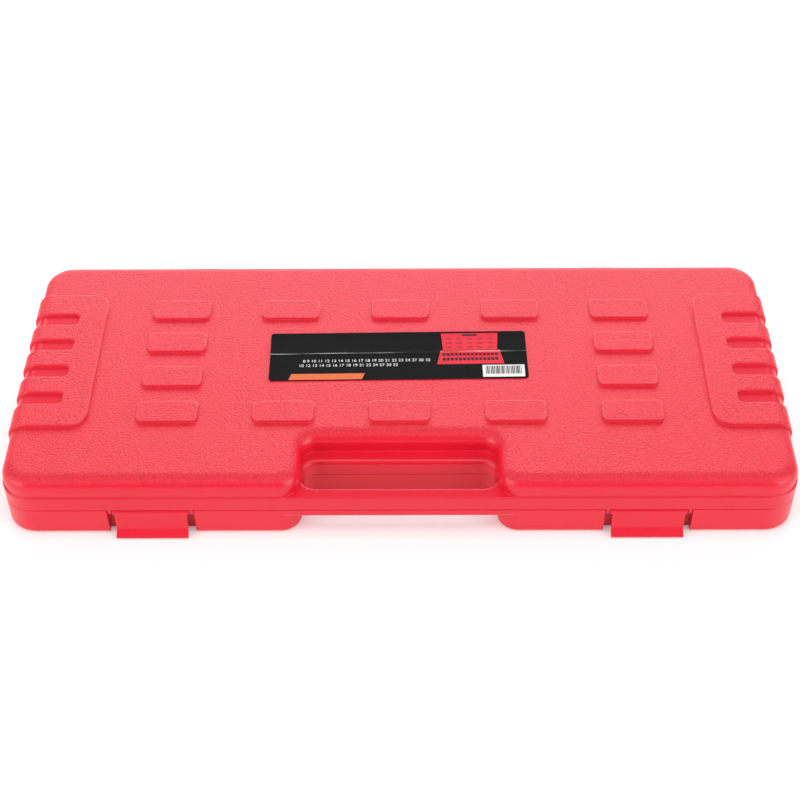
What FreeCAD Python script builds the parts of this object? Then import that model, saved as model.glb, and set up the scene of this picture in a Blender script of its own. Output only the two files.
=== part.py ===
import FreeCAD, Part
import math
import os

from FreeCAD import Vector

# Socket set in a moulded case. Millimetres, +Z up, +Y to the hinges, resting on z = 0.

# Case
case_width = 560.0
case_depth = 236.0
corner_radius = 22.0
base_height = 24.0
flange_height = 12.5
lid_body_height = 15.5
lid_ledge = 1.0
flange_edge_radius = 0.8
lid_edge_radius = 10.0
base_edge_radius = 4.0
rim_width = 10.0
inner_corner_radius = 12.0
roof_thickness = 3.5
roof_edge_radius = 5.0
seam_chamfer = 0.6

# Raised pads on the lid
pad_length = 44.0
pad_width = 20.0
pad_rise = 2.0
pad_corner_radius = 4.0
pad_edge_radius = 0.8
pad_pitch_x = 83.6
pad_pitch_y = 36.6
pad_columns = 5
pad_rows = 4
pad_field_y = 6.3
pad_wall = 4.0

# Grip panels over the two ends of the lid
panel_length = 141.0
panel_reach = 56.0
panel_corner_radius = 13.0
panel_edge_radius = 1.2
panel_field_y = 7.5
groove_count = 4
groove_width = 12.0
groove_pitch = 28.3
groove_reach = 35.0
groove_corner_radius = 3.0

# Carry handle and the recess behind it
recess_width = 139.0
recess_depth = 45.5
recess_mouth_radius = 15.0
slot_width = 24.0
grip_thickness = 10.6
grip_below_seam = 7.2
grip_edge_radius = 3.0
recess_wall = 6.5

# Label
label_length = 191.0
label_width = 51.0
label_thickness = 0.3
label_corner_radius = 1.5
label_x = -1.0
label_y = 9.8
label_turn = 0.75

# Hinges
hinge_spread = 0.559
hinge_width = 24.5
hinge_knuckle_width = 9.7
hinge_knuckle_radius = 4.2
hinge_setback = 4.5
hinge_gusset_rise = 22.0
hinge_gusset_drop = 17.0
hinge_pin_radius = 1.5
lid_opening = 105.0
hinge_stop_margin = 4.0

# Latches
latch_spread = 0.625
latch_width = 54.0
latch_plate_width = 51.0
latch_plate_thickness = 2.4
latch_knuckle_radius = 3.1
latch_setback = 3.0
latch_drop = 22.3
latch_lip = 6.0
latch_hook_length = 2.4
latch_pin_radius = 1.25
ear_thickness = 3.0
ear_radius = 2.4
catch_height = 3.0

# Clearances
pin_clearance = 0.06
body_gap = 0.3
side_gap = 0.4
seat_clearance = 0.3
seat_end_gap = 0.6

# Sockets, by width across flats
deep_sizes = [10, 12, 13, 14, 15, 16, 17, 18, 19, 21, 22, 24, 27, 30, 32]
middle_sizes = [11, 12, 13, 14, 15, 16, 17, 18, 19, 20, 21, 22, 23, 24]
front_left_sizes = [8, 9, 10]
front_right_sizes = [27, 30, 32]
deep_length = 78.0
short_length = 38.0
nut_end_factor = 1.25
nut_end_margin = 4.5
drive_end_least = 25.0
drive_end_most = 30.0
collar_length = 17.0
neck_length = 12.0
drive_square = 12.9
drive_depth = 16.0
drive_groove_width = 3.6
drive_groove_depth = 1.2
drive_groove_setback = 7.5
drive_pin_radius = 2.5
socket_chamfer = 1.0
hex_clearance = 0.2
hex_mouth = 1.2
hex_depth_factor = 0.55
hex_depth_margin = 6.0
hex_floor = 3.0
bore_relief = 0.5

# Layout of the sockets in the tray
floor_thickness = 2.0
seat_depth = 9.0
row_margin = 8.0
spare_behind_deep = 0.15
spare_behind_middle = 0.21
spare_behind_front = 0.38
front_group_gap = 12.0
channel_width = 22.0
channel_depth = 5.0
channel_corner_radius = 5.5

# How far a cutting shape runs past the face it opens, and what counts as no length at all
cut_past = 1.0
tiny = 1e-4

# Places that follow from the sizes above; the hinges and latches overhang the case front and back
hinge_overhang = hinge_setback + hinge_knuckle_radius
middle_y = (latch_lip - hinge_overhang) / 2
front_y = middle_y - case_depth / 2
back_y = middle_y + case_depth / 2
half_width = case_width / 2
flange_top = base_height + flange_height
lid_top = flange_top + lid_body_height
roof_height = lid_top - roof_thickness
tray_height = floor_thickness + seat_clearance + seat_depth
slot_front = front_y + grip_thickness
slot_back = slot_front + slot_width
recess_back = front_y + recess_depth
hinge_y = back_y + hinge_setback
latch_y = front_y + latch_setback
latch_z = base_height - body_gap - latch_knuckle_radius
latch_recess_back = latch_y + latch_knuckle_radius + body_gap
hinge_spacing = hinge_spread * case_width
latch_spacing = latch_spread * case_width

# The rows of sockets share the depth that their lengths leave free
spare_depth = case_depth - 2 * rim_width - deep_length - 2 * short_length
deep_row_y = case_depth / 2 - rim_width - spare_behind_deep * spare_depth - deep_length / 2
middle_row_y = deep_row_y - (deep_length + short_length) / 2 - spare_behind_middle * spare_depth
front_row_y = middle_row_y - short_length - spare_behind_front * spare_depth
front_group_x = (half_width - rim_width + recess_width / 2 + recess_wall) / 2


def rounded_face(corners, z):
    """A flat face at height z, from corners (x, y, radius) in order."""
    edges = []
    ends = []
    count = len(corners)
    for i in range(count):
        x, y, radius = corners[i]
        here = Vector(x, y, z)
        before = Vector(corners[i - 1][0], corners[i - 1][1], z) - here
        after = Vector(corners[(i + 1) % count][0], corners[(i + 1) % count][1], z) - here
        if radius == 0:
            ends.append((here, here))
            continue
        before.normalize()
        after.normalize()
        half_turn = before.getAngle(after) / 2
        run = radius / math.tan(half_turn)
        inward = before + after
        inward.normalize()
        middle = here + inward * (radius / math.sin(half_turn) - radius)
        start = here + before * run
        end = here + after * run
        edges.append((i, Part.Arc(start, middle, end).toShape()))
        ends.append((start, end))
    path = dict(edges)
    outline = []
    for i in range(count):
        if i in path:
            outline.append(path[i])
        start = ends[i][1]
        end = ends[(i + 1) % count][0]
        if (end - start).Length > tiny:
            outline.append(Part.makeLine(start, end))
    return Part.Face(Part.Wire(outline))


def rectangle(x0, x1, y0, y1, radius):
    return [(x0, y0, radius), (x1, y0, radius), (x1, y1, radius), (x0, y1, radius)]


def block(corners, bottom, top):
    """An upright prism on a rounded outline."""
    return rounded_face(corners, bottom).extrude(Vector(0, 0, top - bottom))


def profile_prism(points, x0, x1):
    """A prism along X on an outline of (y, z) points."""
    wire = Part.makePolygon([Vector(x0, y, z) for y, z in points + points[:1]])
    return Part.Face(wire).extrude(Vector(x1 - x0, 0, 0))


def bar(x0, x1, y, z, radius):
    """A round bar along X."""
    return Part.makeCylinder(radius, x1 - x0, Vector(x0, y, z), Vector(1, 0, 0))


def case_outline(inset):
    return rectangle(
        -half_width + inset, half_width - inset, front_y + inset, back_y - inset, corner_radius - inset
    )


def notched_outline(inset, half_notch, notch_back, mouth_radius, inner_radius):
    """The case outline with a notch in the middle of its front."""
    side = half_width - inset
    front = front_y + inset
    back = back_y - inset
    radius = corner_radius - inset
    return [
        (-side, front, radius),
        (-half_notch, front, mouth_radius),
        (-half_notch, notch_back, inner_radius),
        (half_notch, notch_back, inner_radius),
        (half_notch, front, mouth_radius),
        (side, front, radius),
        (side, back, radius),
        (-side, back, radius),
    ]


def inner_outline():
    """The outline of the open inside, which lid and base share."""
    return notched_outline(
        rim_width,
        recess_width / 2 + recess_wall,
        recess_back + recess_wall,
        inner_corner_radius - rim_width / 2,
        inner_corner_radius,
    )


def edges_at(shape, height):
    """The edges of a shape that lie flat at one height."""
    found = []
    for edge in shape.Edges:
        box = edge.BoundBox
        if abs(box.ZMin - height) < tiny and abs(box.ZMax - height) < tiny:
            found.append(edge)
    return found


def handle_slot(bottom, top):
    """The finger slot behind the carry handle, with round ends."""
    corners = rectangle(
        -recess_width / 2, recess_width / 2, slot_front, slot_back, slot_width / 2 - seam_chamfer
    )
    return block(corners, bottom, top)


def within_slot(edge):
    """Is this edge on the rim of the finger slot?"""
    box = edge.BoundBox
    margin = seam_chamfer / 2
    return box.YMin > slot_front - margin and box.YMax < slot_back + margin


def lid_upper_body(grow):
    """The lid above its flange, with the handle recess, grown outwards by a distance."""
    corners = notched_outline(
        lid_ledge - grow,
        recess_width / 2 - grow,
        recess_back + grow,
        recess_mouth_radius + grow,
        inner_corner_radius - grow,
    )
    body = block(corners, flange_top - seam_chamfer, lid_top + grow)
    return body.makeFillet(lid_edge_radius + grow, edges_at(body, lid_top + grow))


def pad_places():
    """Centres of the pads: full rows at the front and back, end columns only between them."""
    places = []
    for row in range(pad_rows):
        y = middle_y + pad_field_y + (row - (pad_rows - 1) / 2) * pad_pitch_y
        for column in range(pad_columns):
            x = (column - (pad_columns - 1) / 2) * pad_pitch_x
            if row in (0, pad_rows - 1) or column in (0, pad_columns - 1):
                places.append((x, y))
    return places


def pad(x, y, bottom, top, inset):
    corners = rectangle(
        x - pad_length / 2 + inset,
        x + pad_length / 2 - inset,
        y - pad_width / 2 + inset,
        y + pad_width / 2 - inset,
        pad_corner_radius - inset / 2,
    )
    return block(corners, bottom, top)


def raised_pads():
    pads = []
    for x, y in pad_places():
        raised = pad(x, y, lid_top - pad_rise, lid_top + pad_rise, 0)
        pads.append(raised.makeFillet(pad_edge_radius, edges_at(raised, lid_top + pad_rise)))
    return pads


def pad_hollows():
    """Each pad is pressed out of the lid's wall, so it is hollow from inside."""
    inset = pad_wall / 2
    return [pad(x, y, roof_height - pad_rise, roof_height + pad_rise, inset) for x, y in pad_places()]


def on_panel_rim(edge, grown_body, region):
    """Is this edge where a panel's side walls meet its outer face?"""
    middle = edge.valueAt((edge.FirstParameter + edge.LastParameter) / 2)
    if middle.z < flange_top + tiny:
        return False
    return not grown_body.isInside(middle, tiny, False) and not region.isInside(middle, tiny, False)


def grip_panel(side, grown_body):
    """A raised panel that wraps over one end of the lid, cut by short grooves."""
    panel_y = middle_y + panel_field_y
    inner_x = half_width - panel_reach
    outer_x = half_width + panel_reach
    region = block(
        [
            (inner_x, panel_y - panel_length / 2, panel_corner_radius),
            (outer_x, panel_y - panel_length / 2, 0),
            (outer_x, panel_y + panel_length / 2, 0),
            (inner_x, panel_y + panel_length / 2, panel_corner_radius),
        ],
        flange_top,
        lid_top + 2 * pad_rise,
    )
    grooves = []
    for i in range(groove_count):
        y = panel_y + (i - (groove_count - 1) / 2) * groove_pitch
        grooves.append(
            block(
                [
                    (half_width - groove_reach, y - groove_width / 2, groove_corner_radius),
                    (outer_x, y - groove_width / 2, 0),
                    (outer_x, y + groove_width / 2, 0),
                    (half_width - groove_reach, y + groove_width / 2, groove_corner_radius),
                ],
                flange_top - pad_rise,
                lid_top + 2 * pad_rise,
            )
        )
    region = region.cut(grooves)
    if side < 0:
        region = region.mirror(Vector(0, 0, 0), Vector(1, 0, 0))
    panel = grown_body.common(region)
    rim = [edge for edge in panel.Edges if on_panel_rim(edge, grown_body, region)]
    return panel.makeFillet(panel_edge_radius, rim)


def hinge_centres():
    return [-hinge_spacing / 2, hinge_spacing / 2]


def latch_centres():
    return [-latch_spacing / 2, latch_spacing / 2]


def hinge_knuckle(x0, x1, side, reach):
    """A knuckle on its web and gusset, on the back of the lid (side 1) or the base (side -1).

    The gussets lean out so far that they meet just past the lid's full opening.
    """
    foot = back_y - rim_width / 2
    root = base_height + side * seam_chamfer
    lean = hinge_knuckle_radius / math.tan(math.radians(lid_opening + hinge_stop_margin) / 2)
    web = profile_prism(
        [
            (foot, root),
            (hinge_y, root),
            (hinge_y + lean, base_height + side * hinge_knuckle_radius),
            (back_y, base_height + side * reach),
            (foot, base_height + side * reach),
        ],
        x0,
        x1,
    )
    return bar(x0, x1, hinge_y, base_height, hinge_knuckle_radius).fuse(web)


def hinge_bore(x, radius):
    return bar(x - hinge_width, x + hinge_width, hinge_y, base_height, radius)


def lid_hinge(x):
    """Two outer knuckles under one wide gusset."""
    low = x - hinge_width / 2
    high = x + hinge_width / 2
    inner = hinge_knuckle_width / 2 + side_gap
    clear = hinge_knuckle_radius + side_gap
    hinge = hinge_knuckle(low, high, 1, hinge_gusset_rise)
    room = bar(x - inner, x + inner, hinge_y, base_height, clear)
    below = profile_prism(
        [
            (hinge_y - clear, base_height - clear),
            (hinge_y + clear, base_height - clear),
            (hinge_y + clear, base_height),
            (hinge_y - clear, base_height),
        ],
        x - inner,
        x + inner,
    )
    return hinge.cut([room, below])


def lid_ears(x):
    """Two ears under the flange, which carry the ends of a latch pin."""
    ears = []
    for side in (-1, 1):
        near = x + side * (latch_width / 2 + side_gap)
        far = near + side * ear_thickness
        x0 = min(near, far)
        x1 = max(near, far)
        hanger = profile_prism(
            [
                (latch_y - ear_radius, latch_z),
                (latch_y + ear_radius, latch_z),
                (latch_y + ear_radius, base_height + seam_chamfer),
                (latch_y - ear_radius, base_height + seam_chamfer),
            ],
            x0,
            x1,
        )
        ears.append(bar(x0, x1, latch_y, latch_z, ear_radius).fuse(hanger))
    return ears


def latch_bore(x, radius):
    return bar(x - latch_width, x + latch_width, latch_y, latch_z, radius)


def make_lid():
    flange = block(case_outline(0), base_height, flange_top)
    flange = flange.makeChamfer(seam_chamfer, edges_at(flange, base_height))
    flange = flange.makeFillet(flange_edge_radius, edges_at(flange, flange_top))
    flange = flange.cut(handle_slot(base_height, flange_top))
    slot_rim = [e for e in edges_at(flange, flange_top) if within_slot(e)]
    flange = flange.makeFillet(grip_edge_radius, slot_rim)
    grown_body = lid_upper_body(pad_rise)
    additions = [lid_upper_body(0)] + raised_pads()
    additions += [grip_panel(side, grown_body) for side in (-1, 1)]
    lid = flange.fuse(additions)
    inside = block(inner_outline(), base_height - cut_past, roof_height)
    inside = inside.makeFillet(roof_edge_radius, edges_at(inside, roof_height))
    lid = lid.cut([inside] + pad_hollows())
    lid = lid.fuse([lid_hinge(x) for x in hinge_centres()])
    for x in latch_centres():
        lid = lid.fuse(lid_ears(x))
    bores = [hinge_bore(x, hinge_pin_radius + pin_clearance) for x in hinge_centres()]
    bores += [latch_bore(x, latch_pin_radius + pin_clearance) for x in latch_centres()]
    return lid.cut(bores).removeSplitter()


def nut_diameter(size):
    return nut_end_factor * size + nut_end_margin


def drive_diameter(size):
    return min(max(nut_diameter(size), drive_end_least), drive_end_most)


def widest_diameter(size):
    return max(nut_diameter(size), drive_diameter(size))


def socket_outline(size, length, clearance, end_gap):
    """The outer outline (radius, distance from the nut end) of a socket and of its seat."""
    nut = nut_diameter(size) / 2 + clearance
    drive = drive_diameter(size) / 2 + clearance
    shoulder = length - (collar_length if drive > nut else neck_length)
    outline = [(nut, -end_gap)]
    if abs(nut - drive) > tiny:
        outline += [(nut, shoulder - abs(nut - drive) / 2), (drive, shoulder + abs(nut - drive) / 2)]
    return outline + [(drive, length + end_gap)]


def revolved(outline):
    """A solid of revolution about Z from its outer outline."""
    points = [(0, outline[0][1])] + outline + [(0, outline[-1][1])]
    wire = Part.makePolygon([Vector(r, 0, z) for r, z in points + points[:1]])
    return Part.Face(wire).revolve(Vector(0, 0, 0), Vector(0, 0, 1), 360)


def axis_height(size):
    """Every socket lies on the floor of its seat, so a thick one's axis is higher."""
    return floor_thickness + seat_clearance + widest_diameter(size) / 2


def laid_down(shape, x, y, z):
    """Turns a socket made along Z to lie along Y, nut end to the front, centred on a point."""
    length = shape.BoundBox.ZLength
    shape.translate(Vector(0, 0, -shape.BoundBox.ZMin - length / 2))
    shape.rotate(Vector(0, 0, 0), Vector(1, 0, 0), -90)
    shape.translate(Vector(x, y, z))
    return shape


def prism(sides, across_flats, bottom, top):
    """A regular upright prism about Z, with a flat facing +X."""
    radius = across_flats / 2 / math.cos(math.pi / sides)
    angles = [math.pi / sides + 2 * math.pi * i / sides for i in range(sides + 1)]
    wire = Part.makePolygon([Vector(radius * math.cos(a), radius * math.sin(a), bottom) for a in angles])
    return Part.Face(wire).extrude(Vector(0, 0, top - bottom))


def make_socket(size, length, x, y):
    body = revolved(socket_outline(size, length, 0, 0))
    rims = edges_at(body, 0) + edges_at(body, length)
    body = body.makeChamfer(socket_chamfer, rims)
    flats = size + hex_clearance
    hex_depth = min(hex_depth_factor * size + hex_depth_margin, length - drive_depth - hex_floor)
    corner = flats / 2 / math.cos(math.pi / 6)
    bore_radius = (size - bore_relief) / 2
    drive_start = length - drive_depth
    groove_low = length - drive_groove_setback - drive_groove_width / 2
    drive_radius = drive_diameter(size) / 2
    ring = Part.makeCylinder(drive_radius + cut_past, drive_groove_width, Vector(0, 0, groove_low))
    core = Part.makeCylinder(drive_radius - drive_groove_depth, drive_groove_width, Vector(0, 0, groove_low))
    pin_hole = Part.makeCylinder(
        drive_pin_radius,
        2 * drive_radius,
        Vector(-drive_radius, 0, length - drive_groove_setback),
        Vector(1, 0, 0),
    )
    mouth = Part.makeCone(corner + hex_mouth / 2, corner - hex_mouth / 2, hex_mouth)
    cuts = [
        prism(6, flats, 0, hex_depth),
        mouth,
        Part.makeCylinder(bore_radius, drive_start, Vector(0, 0, 0)),
        prism(4, drive_square, drive_start, length),
        ring.cut(core),
        pin_hole,
    ]
    return laid_down(body.cut(cuts), x, y, axis_height(size))


def row(sizes, length, low, high, y):
    """Sockets side by side with even gaps between low and high, as (size, length, x, y)."""
    gap = (high - low - sum(widest_diameter(size) for size in sizes)) / (len(sizes) - 1)
    places = []
    x = low
    for size in sizes:
        places.append((size, length, x + widest_diameter(size) / 2, middle_y + y))
        x += widest_diameter(size) + gap
    return places


def front_group(sizes, centre):
    half = (sum(widest_diameter(size) for size in sizes) + front_group_gap * (len(sizes) - 1)) / 2
    return row(sizes, short_length, centre - half, centre + half, front_row_y)


def socket_rows():
    """The deep row, the middle row and the two groups beside the handle recess."""
    reach = half_width - rim_width - row_margin
    return [
        row(deep_sizes, deep_length, -reach, reach, deep_row_y),
        row(middle_sizes, short_length, -reach, reach, middle_row_y),
        front_group(front_left_sizes, -front_group_x),
        front_group(front_right_sizes, front_group_x),
    ]


def socket_seats(places):
    seats = []
    for size, length, x, y in places:
        outline = socket_outline(size, length, seat_clearance, seat_end_gap)
        seats.append(laid_down(revolved(outline), x, y, axis_height(size)))
    return seats


def finger_channel(places):
    """A shallow channel across a row of seats, so that fingers reach round a socket."""
    low = places[0][2] - widest_diameter(places[0][0]) / 2
    high = places[-1][2] + widest_diameter(places[-1][0]) / 2
    y = places[0][3]
    corners = rectangle(low, high, y - channel_width / 2, y + channel_width / 2, channel_corner_radius)
    return block(corners, tray_height - channel_depth, base_height)


def latch_recess(x):
    """A recess in the front of the base, open at its bottom, for a latch and the ears beside it."""
    half = latch_width / 2 + side_gap + ear_thickness + body_gap
    return Part.makeBox(
        2 * half,
        latch_recess_back - front_y + latch_lip,
        2 * base_height,
        Vector(x - half, front_y - latch_lip, -base_height / 2),
    )


def latch_catch(x):
    """The ridge across a latch recess that the latch's hook snaps past."""
    middle = latch_z - latch_drop / 2 + catch_height
    tip = latch_y + body_gap
    return profile_prism(
        [
            (latch_recess_back + body_gap, middle - catch_height / 2),
            (tip, middle),
            (latch_recess_back + body_gap, middle + catch_height),
        ],
        x - latch_plate_width / 2,
        x + latch_plate_width / 2,
    )


def make_base():
    corners = notched_outline(
        0, recess_width / 2, slot_back, recess_mouth_radius, slot_width / 2 - seam_chamfer
    )
    body = block(corners, 0, base_height)
    body = body.makeFillet(base_edge_radius, edges_at(body, 0))
    body = body.makeChamfer(seam_chamfer, edges_at(body, base_height))
    grip_reach = recess_width / 2 + recess_mouth_radius
    grip = Part.makeBox(
        2 * grip_reach,
        grip_thickness,
        grip_below_seam,
        Vector(-grip_reach, front_y, base_height - grip_below_seam),
    )
    grip = grip.makeFillet(grip_edge_radius, edges_at(grip, base_height - grip_below_seam))
    tray = block(inner_outline(), tray_height, base_height + cut_past)
    base = body.fuse(grip)
    base = base.cut([tray] + [latch_recess(x) for x in latch_centres()])
    base = base.fuse([latch_catch(x) for x in latch_centres()])
    for places in socket_rows():
        base = base.cut(finger_channel(places))
        base = base.cut(socket_seats(places))
    knuckle = hinge_knuckle_width / 2
    base = base.fuse([hinge_knuckle(x - knuckle, x + knuckle, -1, hinge_gusset_drop) for x in hinge_centres()])
    bores = [hinge_bore(x, hinge_pin_radius + pin_clearance) for x in hinge_centres()]
    return base.cut(bores).removeSplitter()


def make_latch(x):
    """A knuckle along the top, a plate that leans out to a finger lip, and a hook behind it."""
    face = latch_y - latch_knuckle_radius
    foot = latch_z - latch_drop + latch_knuckle_radius
    lip = front_y - latch_lip
    hook_z = latch_z - latch_drop / 2
    thick = latch_plate_thickness
    plate = profile_prism(
        [
            (face, latch_z),
            (face - thick / 2, foot + 2 * thick),
            (lip, foot + thick / 2),
            (lip, foot),
            (lip + thick, foot),
            (face + thick / 2, foot + 2 * thick),
            (face + thick, hook_z - latch_hook_length),
            (latch_y, hook_z),
            (face + thick, hook_z + latch_hook_length / 2),
            (face + thick, latch_z),
        ],
        x - latch_plate_width / 2,
        x + latch_plate_width / 2,
    )
    knuckle = bar(x - latch_width / 2, x + latch_width / 2, latch_y, latch_z, latch_knuckle_radius)
    return knuckle.fuse(plate).cut(latch_bore(x, latch_pin_radius + pin_clearance)).removeSplitter()


def make_hinge_pin(x):
    return bar(x - hinge_width / 2, x + hinge_width / 2, hinge_y, base_height, hinge_pin_radius)


def make_latch_pin(x):
    half = latch_width / 2 + side_gap + ear_thickness
    return bar(x - half, x + half, latch_y, latch_z, latch_pin_radius)


def make_label():
    corners = rectangle(
        -label_length / 2, label_length / 2, -label_width / 2, label_width / 2, label_corner_radius
    )
    label = block(corners, lid_top, lid_top + label_thickness)
    label.rotate(Vector(0, 0, 0), Vector(0, 0, 1), label_turn)
    label.translate(Vector(label_x, middle_y + label_y, 0))
    return label


def make_pieces():
    pieces = {"base": make_base(), "lid": make_lid(), "label": make_label()}
    for side, hinge_x, latch_x in zip(("left", "right"), hinge_centres(), latch_centres()):
        pieces["hinge_pin_" + side] = make_hinge_pin(hinge_x)
        pieces["latch_" + side] = make_latch(latch_x)
        pieces["latch_pin_" + side] = make_latch_pin(latch_x)
    for places in socket_rows():
        kind = "deep" if places[0][1] == deep_length else "short"
        for size, length, x, y in places:
            pieces[f"socket_{kind}_{size:02.0f}"] = make_socket(size, length, x, y)
    return pieces


os.makedirs("parts", exist_ok=True)
for name, shape in make_pieces().items():
    shape.exportStep(f"parts/{name}.step")
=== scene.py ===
import math

import bpy
from mathutils import Matrix, Vector, noise


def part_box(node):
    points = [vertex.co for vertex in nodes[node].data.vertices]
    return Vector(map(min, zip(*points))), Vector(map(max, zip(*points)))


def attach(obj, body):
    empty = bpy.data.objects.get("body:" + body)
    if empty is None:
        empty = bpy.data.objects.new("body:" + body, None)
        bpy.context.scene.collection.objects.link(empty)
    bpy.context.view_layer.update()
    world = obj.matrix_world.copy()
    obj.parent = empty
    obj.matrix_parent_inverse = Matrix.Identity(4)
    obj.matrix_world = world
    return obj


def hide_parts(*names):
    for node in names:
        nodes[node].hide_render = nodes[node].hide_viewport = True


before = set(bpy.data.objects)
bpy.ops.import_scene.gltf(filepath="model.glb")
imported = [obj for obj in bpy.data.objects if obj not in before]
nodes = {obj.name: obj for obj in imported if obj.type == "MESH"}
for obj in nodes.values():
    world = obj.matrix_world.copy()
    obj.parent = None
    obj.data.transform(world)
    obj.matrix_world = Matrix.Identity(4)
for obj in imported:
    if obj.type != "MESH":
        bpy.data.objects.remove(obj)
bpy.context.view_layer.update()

# Metres, in the part's own frame: +X along the case, +Y to the hinges, +Z up.
MM = 0.001
sockets = [name for name in nodes if name.startswith("socket")]

# The photograph's camera, from the fit of the case's corners and pads; lens and sensor in millimetres
camera_place = Vector((0.00965, -0.85710, 0.86693))
camera_pitch = math.radians(44.852)
camera_yaw = math.radians(-0.653)
camera_roll = math.radians(-0.612)
camera_lens = 71.81
camera_sensor = 36

# Heights on the lid: the top of its smooth flange, and the face that carries the label
flange_top = 36.5 * MM
lid_top = 52.0 * MM

# The mould's grain, with the height where it begins on the lid and one above the whole case for no
# grain at all, the small rounding of the edges, and the height where pads and panels crest
grain_start = flange_top + 1.5 * MM
no_grain = 1.0
grain_fade = 3 * MM
grain_depth = 0.4 * MM
grain_wander = 1.2 * MM
grained_roughness = 0.5
mould_edge_radius = 1.3 * MM
crest_height = 52.6 * MM
crest_depth = 0.3 * MM

# The four grooves across each grip panel, from the case's middle
groove_from = 245.6 * MM
groove_middle = 6.15 * MM
groove_pitch = 28.3 * MM
groove_half_width = 6.4 * MM

# The white paper that the case lies on, its glow for the eye near and far, and the room's light
floor_size = 80.0
floor_drop = 0.2 * MM
glow_near = 0.22
glow_far = 1.0
glow_from = 1.8
glow_to = 5.0
room_light = 0.26

# The size marks on the sockets: their share of the length from the nut end, height and lift
mark_share = 0.3
mark_height = 8 * MM
mark_lift = 0.02 * MM

# The label on the lid
label_length = 191.0 * MM
label_width = 51.0 * MM
label_turn = math.radians(0.75)
label_corner_radius = 2.5 * MM
label_cells = (96, 102)
patch_cell = (4 * MM, 2 * MM)
film_thickness = 0.25 * MM
ink_thickness = 0.04 * MM
glue_thickness = 0.14 * MM
crease_rise = 0.3 * MM
lifted_end_rise = 0.35 * MM
ripple_rise = 0.1 * MM
curl_rise = 0.25 * MM
picture_x = 53.5 * MM
size_row_height = 3.9 * MM
bar_widths = (0.45 * MM, 0.9 * MM, 0.6 * MM, 1.1 * MM)

# Where the film isn't flat, as shares of half its length or width
crease_at = 0.10
crease_lean = 0.02
crease_reach = 0.05
lifted_from = 0.93
lifted_share = 0.07
curl_from = 0.72
curl_share = 0.28


def linear(colour):
    """An sRGB hex colour as linear red, green, blue and alpha."""
    values = [int(colour[i : i + 2], 16) / 255 for i in (1, 3, 5)]
    return [v / 12.92 if v <= 0.04045 else ((v + 0.055) / 1.055) ** 2.4 for v in values] + [1.0]


def add(tree, kind, inputs=None, **settings):
    """Adds a node with its settings, and links or values for its inputs."""
    made = tree.nodes.new(kind)
    for name, value in settings.items():
        setattr(made, name, value)
    for socket, value in (inputs or {}).items():
        if isinstance(value, bpy.types.NodeSocket):
            tree.links.new(value, made.inputs[socket])
        else:
            made.inputs[socket].default_value = value
    return made


def new_material(name):
    """A new material, with its node tree and its shader."""
    material = bpy.data.materials.new(name)
    material.use_nodes = True
    return material, material.node_tree, material.node_tree.nodes["Principled BSDF"]


def per_mm(size_mm):
    """The scale of a pattern whose cells are this many millimetres across."""
    return 1 / (size_mm * MM)


def math_node(tree, operation, *values):
    """The result of one sum on links or numbers."""
    return add(tree, "ShaderNodeMath", dict(enumerate(values)), operation=operation).outputs[0]


def outside_grooves(tree, spot):
    """Zero in the grip panels' grooves, which the mould leaves smooth, and one elsewhere."""
    axes = add(tree, "ShaderNodeSeparateXYZ", {0: spot})
    far_out = math_node(tree, "GREATER_THAN", math_node(tree, "ABSOLUTE", axes.outputs["X"]), groove_from)
    along = math_node(tree, "SUBTRACT", axes.outputs["Y"], groove_middle)
    in_field = math_node(tree, "COMPARE", along, 0.0, 2 * groove_pitch)
    from_ridge = math_node(tree, "PINGPONG", along, groove_pitch / 2)
    in_groove = math_node(tree, "GREATER_THAN", from_ridge, groove_pitch / 2 - groove_half_width)
    inside = math_node(tree, "MULTIPLY", math_node(tree, "MULTIPLY", far_out, in_field), in_groove)
    return math_node(tree, "SUBTRACT", 1.0, inside)


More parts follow.
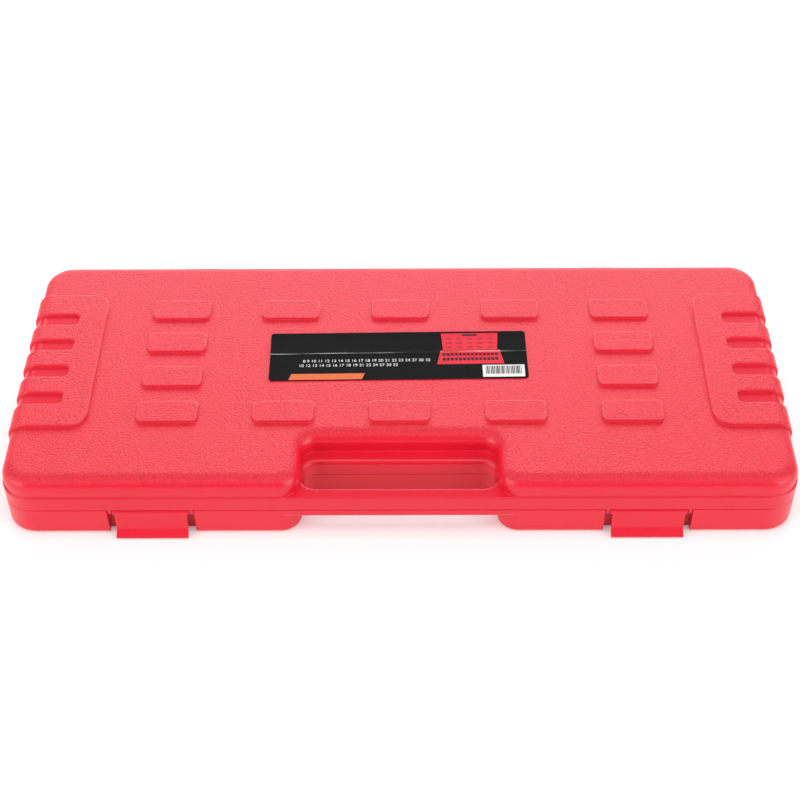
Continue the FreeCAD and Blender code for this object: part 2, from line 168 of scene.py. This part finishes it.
def moulded_polyethylene(name, grain_from, smooth_roughness):
    """Blow-moulded red polyethylene: waxy and fairly saturated, with a soft sheen.

    Above the height grain_from its upper faces carry the mould's leather grain, about 1.4 mm wide,
    whose small facets catch the light and make the colour paler; in the colour its valleys are painted
    darker as painted shade and its tops paler as a painted highlight. Below it the wall is smooth, with
    faint flow lines along the case.
    """
    material, tree, shader = new_material(name)
    place = add(tree, "ShaderNodeTexCoord")
    spot = place.outputs["Object"]
    height = add(tree, "ShaderNodeSeparateXYZ", {0: spot}).outputs["Z"]
    facing = add(tree, "ShaderNodeSeparateXYZ", {0: place.outputs["Normal"]}).outputs["Z"]
    above = add(
        tree,
        "ShaderNodeMapRange",
        {"Value": height, "From Min": grain_from, "From Max": grain_from + grain_fade},
    )
    upward = add(tree, "ShaderNodeMapRange", {"Value": facing, "From Min": 0.5, "From Max": 0.85})
    upper = math_node(tree, "MULTIPLY", above.outputs[0], upward.outputs[0])
    upper = math_node(tree, "MULTIPLY", upper, outside_grooves(tree, spot))

    # The edges are rounded a little and have no grain, so they take a thin clean highlight
    softened = add(tree, "ShaderNodeBevel", {"Radius": mould_edge_radius}, samples=6)
    outward = add(tree, "ShaderNodeNewGeometry").outputs["Normal"]
    alike = add(
        tree, "ShaderNodeVectorMath", {0: outward, 1: softened.outputs[0]}, operation="DOT_PRODUCT"
    )
    inner = add(
        tree, "ShaderNodeMapRange", {"Value": alike.outputs["Value"], "From Min": 0.95, "From Max": 0.995}
    )
    edge = math_node(tree, "SUBTRACT", 1.0, inner.outputs[0])
    mask = math_node(tree, "MULTIPLY", upper, inner.outputs[0])

    wander = add(tree, "ShaderNodeTexNoise", {"Vector": spot, "Scale": per_mm(2.4), "Detail": 1.0})
    shifted = add(
        tree,
        "ShaderNodeVectorMath",
        {0: wander.outputs["Color"], 1: (grain_wander, grain_wander, grain_wander), 2: spot},
        operation="MULTIPLY_ADD",
    )
    pebbles = add(
        tree,
        "ShaderNodeTexVoronoi",
        {"Vector": shifted.outputs[0], "Scale": per_mm(1.4), "Smoothness": 0.4},
        feature="SMOOTH_F1",
    )
    fine = add(tree, "ShaderNodeTexNoise", {"Vector": spot, "Scale": per_mm(0.9), "Detail": 2.0})
    grain = math_node(tree, "SUBTRACT", fine.outputs["Fac"], pebbles.outputs["Distance"])
    grained = math_node(tree, "MULTIPLY", grain, mask)

    stretched = add(tree, "ShaderNodeMapping", {"Vector": spot, "Scale": (0.03, 1.0, 1.0)})
    flow = add(
        tree,
        "ShaderNodeTexNoise",
        {"Vector": stretched.outputs[0], "Scale": per_mm(1.6), "Detail": 3.0},
    )
    lines = math_node(tree, "MULTIPLY_ADD", flow.outputs["Fac"], 0.12, grained)
    bump = add(
        tree,
        "ShaderNodeBump",
        {"Height": lines, "Distance": grain_depth, "Normal": softened.outputs[0]},
    )

    cloud = add(tree, "ShaderNodeTexNoise", {"Vector": spot, "Scale": per_mm(70.0), "Detail": 3.0})
    tone = add(
        tree,
        "ShaderNodeMix",
        {"Factor": cloud.outputs["Fac"], "A": linear("#E9142F"), "B": linear("#F01A38")},
        data_type="RGBA",
    )
    # Painted shade and highlight: the grain's valleys are painted darker and its tops a little paler
    grain_shade_and_highlight = add(
        tree,
        "ShaderNodeMapRange",
        {"Value": grained, "From Min": -0.25, "From Max": 0.2, "To Min": 0.86, "To Max": 1.05},
    )
    shaded = add(
        tree,
        "ShaderNodeVectorMath",
        {0: tone.outputs["Result"], 1: grain_shade_and_highlight.outputs[0]},
        operation="MULTIPLY",
    )
    # A painted highlight: the edges of the crests of the pads and the grip panels are painted pale pink
    crest = add(
        tree,
        "ShaderNodeMapRange",
        {"Value": height, "From Min": crest_height, "From Max": crest_height + crest_depth, "To Max": 0.8},
    )
    painted_rim_highlight = math_node(tree, "MULTIPLY", crest.outputs[0], edge)
    rim_highlighted_colour = add(
        tree,
        "ShaderNodeMix",
        {"Factor": painted_rim_highlight, "A": shaded.outputs[0], "B": linear("#FF8A94")},
        data_type="RGBA",
    )
    gloss = add(
        tree,
        "ShaderNodeMapRange",
        {"Value": mask, "To Min": smooth_roughness, "To Max": grained_roughness},
    )
    tree.links.new(rim_highlighted_colour.outputs["Result"], shader.inputs["Base Color"])
    tree.links.new(gloss.outputs[0], shader.inputs["Roughness"])
    tree.links.new(bump.outputs[0], shader.inputs["Normal"])
    shader.inputs["IOR"].default_value = 1.52
    return material


def phosphated_steel():
    """Forged chrome-molybdenum steel with a black phosphate coat: charcoal, dull, finely speckled."""
    material, tree, shader = new_material("phosphated_steel")
    spot = add(tree, "ShaderNodeTexCoord").outputs["Object"]
    speckle = add(tree, "ShaderNodeTexNoise", {"Vector": spot, "Scale": per_mm(0.5), "Detail": 3.0})
    patches = add(tree, "ShaderNodeTexNoise", {"Vector": spot, "Scale": per_mm(9.0), "Detail": 4.0})
    tone = add(
        tree,
        "ShaderNodeMix",
        {"Factor": patches.outputs["Fac"], "A": linear("#34353A"), "B": linear("#56575C")},
        data_type="RGBA",
    )
    dullness = add(
        tree, "ShaderNodeMapRange", {"Value": speckle.outputs["Fac"], "To Min": 0.3, "To Max": 0.46}
    )
    bump = add(
        tree, "ShaderNodeBump", {"Height": speckle.outputs["Fac"], "Strength": 0.5, "Distance": 0.03 * MM}
    )
    tree.links.new(tone.outputs["Result"], shader.inputs["Base Color"])
    tree.links.new(dullness.outputs[0], shader.inputs["Roughness"])
    tree.links.new(bump.outputs[0], shader.inputs["Normal"])
    shader.inputs["Metallic"].default_value = 0.85
    return material


def drawn_steel():
    """Bright drawn steel wire: grey metal with fine lines along its length."""
    material, tree, shader = new_material("drawn_steel")
    spot = add(tree, "ShaderNodeTexCoord").outputs["Object"]
    along = add(tree, "ShaderNodeMapping", {"Vector": spot, "Scale": (0.05, 1.0, 1.0)})
    lines = add(
        tree,
        "ShaderNodeTexNoise",
        {"Vector": along.outputs[0], "Scale": per_mm(0.25), "Detail": 2.0},
    )
    dullness = add(tree, "ShaderNodeMapRange", {"Value": lines.outputs["Fac"], "To Min": 0.2, "To Max": 0.42})
    tone = add(
        tree,
        "ShaderNodeMix",
        {"Factor": lines.outputs["Fac"], "A": linear("#9A9B9E"), "B": linear("#C4C5C7")},
        data_type="RGBA",
    )
    tree.links.new(tone.outputs["Result"], shader.inputs["Base Color"])
    tree.links.new(dullness.outputs[0], shader.inputs["Roughness"])
    shader.inputs["Metallic"].default_value = 1.0
    return material


def printed_film(name, low, high, roughness):
    """Printed and varnished plastic film: even ink with a slight mottle under a glossy coat."""
    material, tree, shader = new_material(name)
    spot = add(tree, "ShaderNodeTexCoord").outputs["Object"]
    mottle = add(tree, "ShaderNodeTexNoise", {"Vector": spot, "Scale": per_mm(4.0), "Detail": 4.0})
    tone = add(
        tree,
        "ShaderNodeMix",
        {"Factor": mottle.outputs["Fac"], "A": linear(low), "B": linear(high)},
        data_type="RGBA",
    )
    dullness = add(
        tree,
        "ShaderNodeMapRange",
        {"Value": mottle.outputs["Fac"], "To Min": roughness, "To Max": roughness + 0.1},
    )
    tree.links.new(tone.outputs["Result"], shader.inputs["Base Color"])
    tree.links.new(dullness.outputs[0], shader.inputs["Roughness"])
    return material


def paint(piece, material):
    """Gives a piece one material."""
    piece.data.materials.clear()
    piece.data.materials.append(material)


def finish_piece(name, material, body):
    """Names the active piece, fixes its place in its mesh and lets it ride on a body."""
    piece = bpy.context.object
    piece.name = name
    piece.data.name = name
    bpy.ops.object.transform_apply(location=True, rotation=True, scale=True)
    paint(piece, material)
    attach(piece, body)
    return piece


def film_height(x, y):
    """How far the film stands off the lid at a point of the label: glue, crease, ripples, raised edges."""
    u = 2 * x / label_length
    v = 2 * y / label_width
    from_crease = abs(v - crease_at - crease_lean * u)
    unevenness = 1 + noise.noise(Vector((3.0 * u, 0.0, 0.7)))
    crease = crease_rise * unevenness * math.exp(-from_crease / crease_reach)
    lifted_end = lifted_end_rise * max(0.0, -u - lifted_from) / lifted_share
    ripple = ripple_rise * noise.noise(Vector((4.0 * u, 1.6 * v, 0.3)))
    curl = curl_rise * max(0.0, v - curl_from) / curl_share
    return glue_thickness + crease + lifted_end + ripple + curl


def lay_on_label(piece, lift):
    """Bends a flat piece, drawn about the label's centre, onto the film, and puts it in its place."""
    low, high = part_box("label")
    centre = (Vector(low) + Vector(high)) / 2
    turn = Matrix.Rotation(label_turn, 4, "Z")
    for vertex in piece.data.vertices:
        x, y, z = vertex.co
        flat = turn @ Vector((x, y, 0))
        vertex.co = (centre.x + flat.x, centre.y + flat.y, lid_top + film_height(x, y) + z + lift)


def flat_grid(length, width, cells, x, y):
    """A grid of faces of one size, centred on a point."""
    bpy.ops.object.select_all(action="DESELECT")
    bpy.ops.mesh.primitive_grid_add(
        x_subdivisions=cells[0], y_subdivisions=cells[1], size=1, location=(x, y, 0)
    )
    piece = bpy.context.object
    piece.scale = (length, width, 1)
    bpy.ops.object.transform_apply(location=True, rotation=True, scale=True)
    return piece


def thicken(piece, thickness):
    """Gives a sheet its thickness, upwards."""
    solid = piece.modifiers.new("thickness", "SOLIDIFY")
    solid.thickness = thickness
    solid.offset = 1
    bpy.ops.object.modifier_apply(modifier=solid.name)


def round_corners(piece, length, width, radius):
    """Draws the corners of a flat sheet in to a radius."""
    for vertex in piece.data.vertices:
        over = Vector((abs(vertex.co.x) - length / 2 + radius, abs(vertex.co.y) - width / 2 + radius))
        if min(over) > 0 and over.length > radius:
            pull = over * (1 - radius / over.length)
            vertex.co.x -= math.copysign(pull.x, vertex.co.x)
            vertex.co.y -= math.copysign(pull.y, vertex.co.y)


def make_label_film(material):
    """The label's film, which takes the place of the plain solid."""
    piece = flat_grid(label_length, label_width, label_cells, 0, 0)
    round_corners(piece, label_length, label_width, label_corner_radius)
    thicken(piece, film_thickness)
    lay_on_label(piece, 0)
    bpy.ops.object.shade_smooth_by_angle(angle=math.radians(40))
    piece = finish_piece("label_film", material, "lid")
    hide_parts("label")


def make_print_patch(name, material, length, width, x, y, slant=0.0, taper=0.0, layer=0):
    """A printed patch on the label, leaning by slant and growing to the back by taper."""
    cells = (max(2, round(length / patch_cell[0])), max(2, round(width / patch_cell[1])))
    piece = flat_grid(length, width, cells, x, y)
    for vertex in piece.data.vertices:
        rise = vertex.co.y - y
        vertex.co.x = x + (vertex.co.x - x) * (1 + 2 * taper * rise / width) + slant * rise
    thicken(piece, ink_thickness)
    lay_on_label(piece, film_thickness + layer * ink_thickness)
    finish_piece(name, material, "lid")


def make_numbers(name, material, text, size, x, y):
    """A printed row of plain numbers on the label."""
    bpy.ops.object.select_all(action="DESELECT")
    bpy.ops.object.text_add(location=(x, y, 0))
    bpy.context.object.data.body = text
    bpy.context.object.data.size = size
    bpy.context.object.data.extrude = ink_thickness / 2
    bpy.ops.object.convert(target="MESH")
    bpy.ops.object.transform_apply(location=True, rotation=True, scale=True)
    lay_on_label(bpy.context.object, film_thickness + ink_thickness / 2)
    finish_piece(name, material, "lid")


def printed_sizes(kind):
    """The sizes of the short or the deep sockets as one row of plain numbers."""
    sizes = sorted(int(name[-2:]) for name in sockets if name.startswith("socket_" + kind))
    return " ".join(str(size) for size in sizes)


def make_label():
    """The film with its plain prints: a band, a panel of bars, an open case and two rows of sizes."""
    make_label_film(printed_film("black_film", "#0B0A0C", "#121114", 0.08))
    white = printed_film("white_ink", "#E9E7E6", "#F6F5F4", 0.3)
    orange = printed_film("orange_ink", "#E0602E", "#EE7A45", 0.28)
    red = printed_film("red_ink", "#E2182F", "#EE2A40", 0.25)
    dark_red = printed_film("dark_red_ink", "#A3142A", "#B01A30", 0.25)
    black = printed_film("black_ink", "#0E0D0F", "#1B1A1C", 0.25)
    make_print_patch("orange_band", orange, 54 * MM, 6.2 * MM, -53 * MM, -21.6 * MM, slant=0.35)
    make_print_patch("white_panel", white, 31 * MM, 12.6 * MM, 77.5 * MM, -17.4 * MM)
    make_print_patch("picture_lid", red, 41.5 * MM, 18.0 * MM, picture_x, 14.5 * MM, taper=0.03)
    make_print_patch("picture_tray", red, 47.0 * MM, 14.6 * MM, picture_x, -2.4 * MM, taper=-0.06)
    make_print_patch("picture_grip", black, 11.0 * MM, 1.8 * MM, picture_x, 21.6 * MM, layer=1)
    for row in range(3):
        y = (17.6 - 4.6 * row) * MM
        for i in range(5):
            x = picture_x + 7.8 * (i - 2) * MM
            make_print_patch(f"picture_pad_{row}_{i}", dark_red, 4.4 * MM, 1.3 * MM, x, y, layer=1)
    for row in range(2):
        y = (1.6 - 6.0 * row) * MM
        height = (4.6 - 1.6 * row) * MM
        for i in range(14):
            x = picture_x + 3.0 * (i - 6.5) * MM
            make_print_patch(f"picture_socket_{row}_{i}", black, 2.3 * MM, height, x, y, layer=1)
    make_numbers("size_row_short", white, printed_sizes("short"), size_row_height, -71 * MM, -6.2 * MM)
    make_numbers("size_row_deep", white, printed_sizes("deep"), size_row_height, -74 * MM, -11.0 * MM)
    for i in range(22):
        width = bar_widths[(i * i + i // 3) % 4]
        x = (64.6 + 1.23 * i) * MM
        make_print_patch(f"panel_bar_{i:02d}", black, width, 8.4 * MM, x, -16.4 * MM, layer=1)


def make_size_mark(node, material):
    """The size in plain numbers on the top of a socket's nut end."""
    low, high = [Vector(corner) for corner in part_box(node)]
    centre = (low + high) / 2
    mark_y = low.y + mark_share * (high.y - low.y)
    near = [v.co for v in nodes[node].data.vertices if v.co.y < mark_y]
    radius = max(math.hypot(c.x - centre.x, c.z - centre.z) for c in near)
    bpy.ops.object.select_all(action="DESELECT")
    bpy.ops.object.text_add()
    text = bpy.context.object.data
    text.body = str(int(node[-2:]))
    text.size = mark_height
    text.align_x = "CENTER"
    text.align_y = "CENTER"
    bpy.ops.object.convert(target="MESH")
    piece = bpy.context.object
    for vertex in piece.data.vertices:
        angle = vertex.co.x / radius
        reach = radius + mark_lift
        vertex.co = (
            centre.x + reach * math.sin(angle),
            mark_y + vertex.co.y,
            centre.z + reach * math.cos(angle),
        )
    finish_piece("mark_" + node, material, "base")


def paint_case():
    """Gives every solid its material."""
    grained = moulded_polyethylene("grained_polyethylene", grain_start, 0.3)
    smooth = moulded_polyethylene("smooth_polyethylene", no_grain, 0.32)
    glossy = moulded_polyethylene("glossy_polyethylene", no_grain, 0.26)
    steel = phosphated_steel()
    wire = drawn_steel()
    paint(nodes["lid"], grained)
    paint(nodes["base"], smooth)
    for name in ("latch_left", "latch_right"):
        paint(nodes[name], glossy)
    for name in sockets:
        paint(nodes[name], steel)
    for name in nodes:
        if "_pin_" in name:
            paint(nodes[name], wire)


def make_camera():
    """The camera at the photograph's place, with its small yaw and roll."""
    ahead = Vector(
        (
            math.sin(camera_yaw) * math.cos(camera_pitch),
            math.cos(camera_yaw) * math.cos(camera_pitch),
            -math.sin(camera_pitch),
        )
    )
    level = Vector((math.cos(camera_yaw), -math.sin(camera_yaw), 0))
    upright = level.cross(ahead)
    right = level * math.cos(camera_roll) + upright * math.sin(camera_roll)
    up = upright * math.cos(camera_roll) - level * math.sin(camera_roll)
    camera = bpy.data.objects.new("camera", bpy.data.cameras.new("camera"))
    camera.data.lens = camera_lens
    camera.data.sensor_width = camera_sensor
    turn = Matrix((right, up, -ahead)).transposed()
    camera.matrix_world = Matrix.Translation(camera_place) @ turn.to_4x4()
    bpy.context.scene.collection.objects.link(camera)
    bpy.context.scene.camera = camera


def make_softbox(name, place, aim, width, height, watts):
    """A rectangular studio light that faces a point."""
    light = bpy.data.lights.new(name, "AREA")
    light.shape = "RECTANGLE"
    light.size = width
    light.size_y = height
    light.energy = watts
    lamp = bpy.data.objects.new(name, light)
    lamp.location = place
    lamp.rotation_euler = (Vector(aim) - Vector(place)).to_track_quat("-Z", "Y").to_euler()
    bpy.context.scene.collection.objects.link(lamp)


def make_studio():
    """White paper, an even room and four softboxes."""
    bpy.ops.object.select_all(action="DESELECT")
    bpy.ops.mesh.primitive_plane_add(size=floor_size, location=(0, 0, -floor_drop))
    floor = bpy.context.object
    floor.name = "floor"
    material, tree, shader = new_material("white_paper_sweep")
    rays = add(tree, "ShaderNodeLightPath")
    seen = math_node(tree, "MAXIMUM", rays.outputs["Is Camera Ray"], rays.outputs["Is Glossy Ray"])
    seen = math_node(tree, "MAXIMUM", seen, rays.outputs["Is Transmission Ray"])
    spot = add(tree, "ShaderNodeTexCoord").outputs["Object"]
    distance = add(tree, "ShaderNodeVectorMath", {0: spot}, operation="LENGTH")
    # Far from the case, where little light falls, the paper still looks white
    glow = add(
        tree,
        "ShaderNodeMapRange",
        {
            "Value": distance.outputs["Value"],
            "From Min": glow_from,
            "From Max": glow_to,
            "To Min": glow_near,
            "To Max": glow_far,
        },
    )
    strength = math_node(tree, "MULTIPLY", seen, glow.outputs[0])
    tree.links.new(strength, shader.inputs["Emission Strength"])
    shader.inputs["Emission Color"].default_value = (1, 1, 1, 1)
    shader.inputs["Base Color"].default_value = linear("#F4F4F4")
    shader.inputs["Roughness"].default_value = 0.9
    shader.inputs["Specular IOR Level"].default_value = 0.0
    paint(floor, material)

    world = bpy.data.worlds.new("studio")
    bpy.context.scene.world = world
    world.use_nodes = True
    world.node_tree.nodes["Background"].inputs["Color"].default_value = (1, 1, 1, 1)
    world.node_tree.nodes["Background"].inputs["Strength"].default_value = room_light

    make_softbox("back_box", (0, 2.4, 0.85), (0, 0, 0), 3.4, 0.8, 68)
    make_softbox("top_box", (0, -0.3, 2.4), (0, 0, 0), 2.4, 1.6, 24)
    make_softbox("left_box", (-2.3, -1.5, 1.0), (0, 0, 0), 2.2, 1.6, 40)
    make_softbox("right_box", (2.3, -1.5, 1.0), (0, 0, 0), 2.2, 1.6, 40)


paint_case()
make_label()
etched = printed_film("laser_etched_grey", "#8E8F92", "#B4B5B8", 0.45)
for name in sockets:
    make_size_mark(name, etched)
make_camera()
make_studio()
bpy.context.scene.view_settings.view_transform = "Standard"
